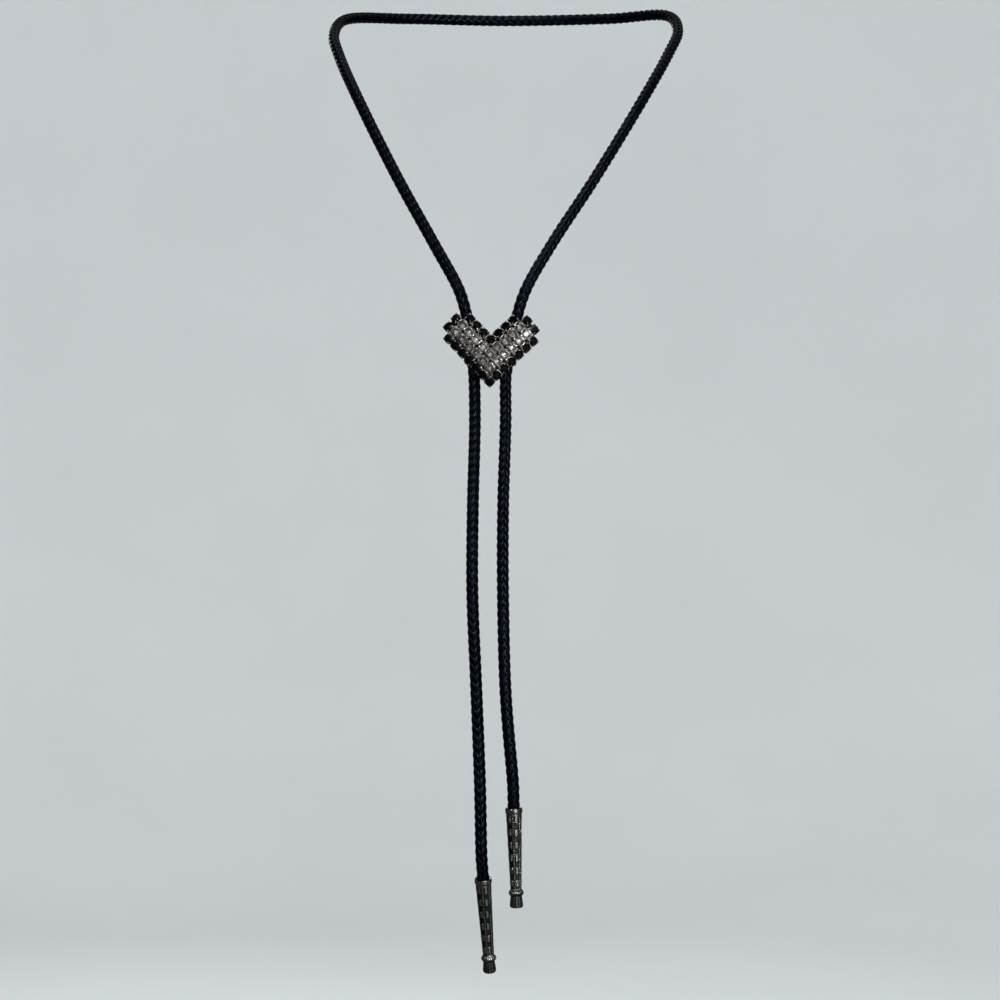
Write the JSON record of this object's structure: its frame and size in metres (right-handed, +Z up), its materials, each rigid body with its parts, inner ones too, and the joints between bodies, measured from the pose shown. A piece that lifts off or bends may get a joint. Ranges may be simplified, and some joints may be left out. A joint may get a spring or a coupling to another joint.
{
  "type": "bolo tie",
  "caption": "Bolo tie as worn: a dark braided cord round the neck through a V-shaped heart slide set with black and clear stones, its ends in cast silver-tone tips.",
  "frame": {"origin": "nape: the middle of the cord's inner side at the back of the neck, where the cord rests and hangs from", "axes": "+Z up, -Y out of the wearer's chest towards the viewer, +X to the viewer's right"},
  "size_m": [0.158, 0.1982, 0.4161],
  "materials": {
    "braided_leather": "round braid of dark leather laces, soft sheen",
    "silver": "polished silver-tone plate",
    "antique_silver": "cast, silver-tone, darkened in the hollows",
    "black_glass": "polished faceted jet glass, opaque",
    "clear_glass": "polished faceted crystal with a foiled back"
  },
  "bodies": {
    "root": {"cord": "braided_leather", "left_tip": "antique_silver", "right_tip": "antique_silver", "heart_setting": "silver", "slide_clasp": "silver", "black_stone_01": "black_glass", "black_stone_02": "black_glass", "black_stone_03": "black_glass", "black_stone_04": "black_glass", "black_stone_05": "black_glass", "black_stone_06": "black_glass", "black_stone_07": "black_glass", "black_stone_08": "black_glass", "black_stone_09": "black_glass", "black_stone_10": "black_glass", "black_stone_11": "black_glass", "black_stone_12": "black_glass", "black_stone_13": "black_glass", "black_stone_14": "black_glass", "black_stone_15": "black_glass", "black_stone_16": "black_glass", "black_stone_17": "black_glass", "black_stone_18": "black_glass", "black_stone_19": "black_glass", "black_stone_20": "black_glass", "black_stone_21": "black_glass", "black_stone_22": "black_glass", "black_stone_23": "black_glass", "black_stone_24": "black_glass", "clear_stone_01": "clear_glass", "clear_stone_02": "clear_glass", "clear_stone_03": "clear_glass", "clear_stone_04": "clear_glass", "clear_stone_05": "clear_glass", "clear_stone_06": "clear_glass", "clear_stone_07": "clear_glass", "clear_stone_08": "clear_glass", "clear_stone_09": "clear_glass", "clear_stone_10": "clear_glass", "clear_stone_11": "clear_glass", "clear_stone_12": "clear_glass", "clear_stone_13": "clear_glass", "clear_stone_14": "clear_glass", "clear_stone_15": "clear_glass", "clear_stone_16": "clear_glass", "clear_stone_17": "clear_glass", "clear_stone_18": "clear_glass", "clear_stone_19": "clear_glass", "clear_stone_20": "clear_glass"}
  },
  "joints": []
}
